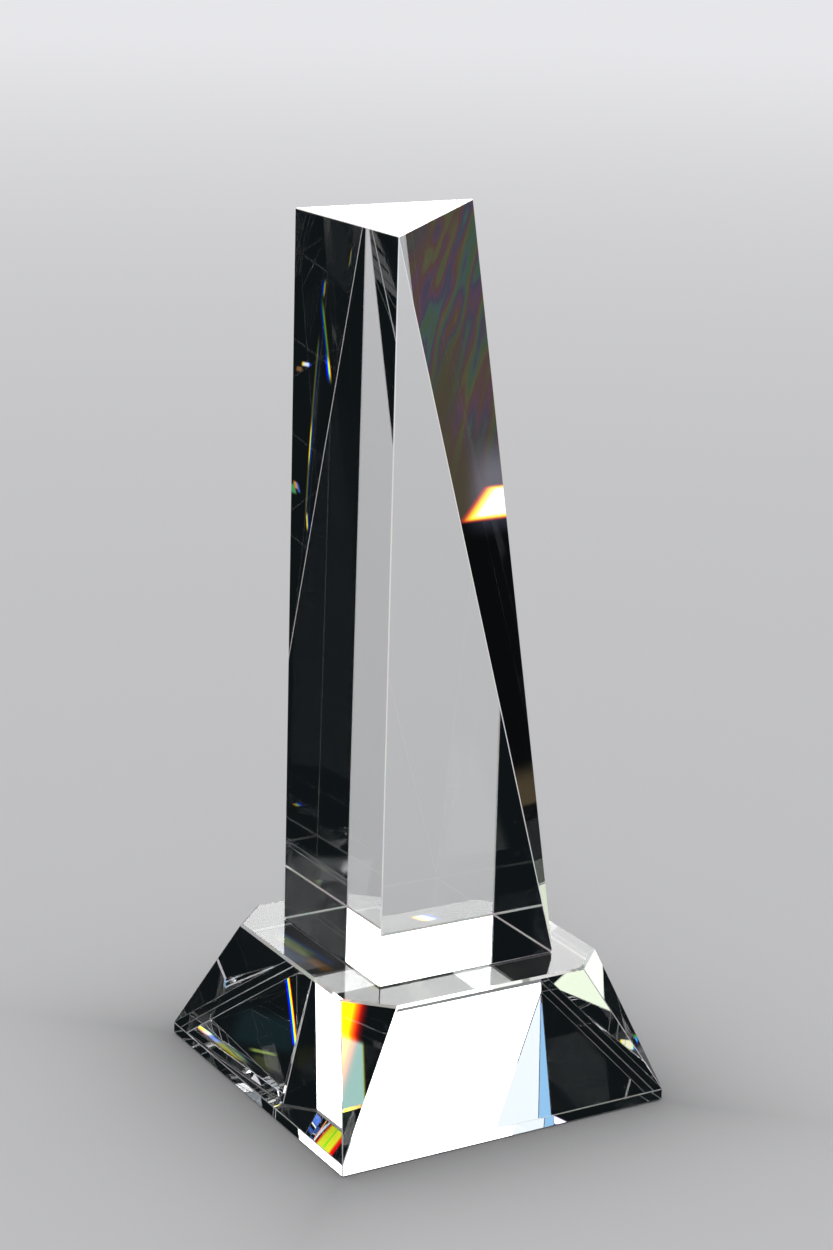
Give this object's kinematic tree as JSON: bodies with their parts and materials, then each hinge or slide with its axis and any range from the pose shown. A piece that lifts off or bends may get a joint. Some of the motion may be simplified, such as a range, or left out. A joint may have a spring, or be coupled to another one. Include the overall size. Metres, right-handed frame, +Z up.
{
  "type": "crystal award",
  "caption": "Free-standing clear crystal award: a square tower with one long slanting facet, bonded to a faceted square base.",
  "frame": {"origin": "centre of the base's flat underside", "axes": "+Z up along the tower; X and Y along the sides of the square base; the long slanting facet looks towards +X -Y"},
  "size_m": [0.1016, 0.1016, 0.2413],
  "materials": {
    "base_crystal": "polished optical crystal, index 1.517",
    "tower_crystal": "polished optical crystal, index 1.517",
    "clear_adhesive": "clear UV-cured adhesive, index a little below the crystal"
  },
  "bodies": {
    "root": {"crystal_base": "base_crystal", "adhesive_film": "clear_adhesive", "crystal_tower": "tower_crystal"}
  },
  "joints": []
}
